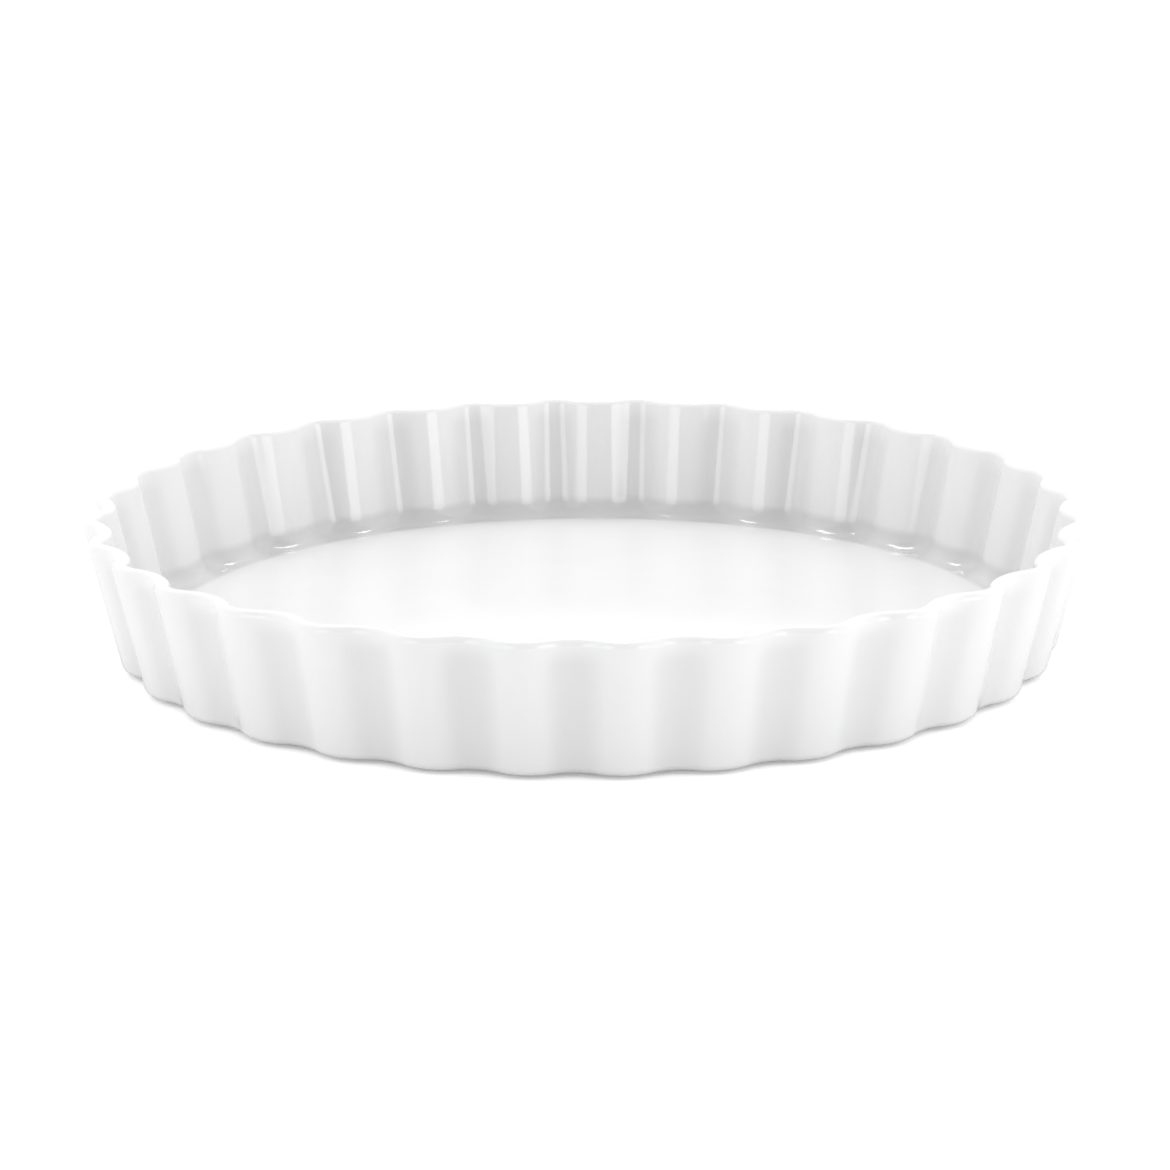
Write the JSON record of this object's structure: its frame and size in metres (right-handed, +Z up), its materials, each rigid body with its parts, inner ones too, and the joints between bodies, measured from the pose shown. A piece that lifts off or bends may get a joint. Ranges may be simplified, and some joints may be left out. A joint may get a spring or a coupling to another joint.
{
  "type": "fluted quiche dish",
  "caption": "Round shallow baking dish with a flared fluted wall, a flat floor and a rounded rim, in white glazed porcelain.",
  "frame": {"origin": "centre of the foot ring, level with the surface that the dish stands on", "axes": "+Z up along the dish's axis, towards the open rim; +X and +Y each through the crest of a flute"},
  "size_m": [0.3, 0.3, 0.0415],
  "materials": {
    "bare_porcelain": "fired porcelain with no glaze, matt and faintly rough, showing only on the foot ring",
    "glaze": "clear glossy glaze over white porcelain"
  },
  "bodies": {
    "root": {"porcelain_body": "bare_porcelain", "glaze_coat": "glaze", "underside_glaze": "glaze"}
  },
  "joints": []
}
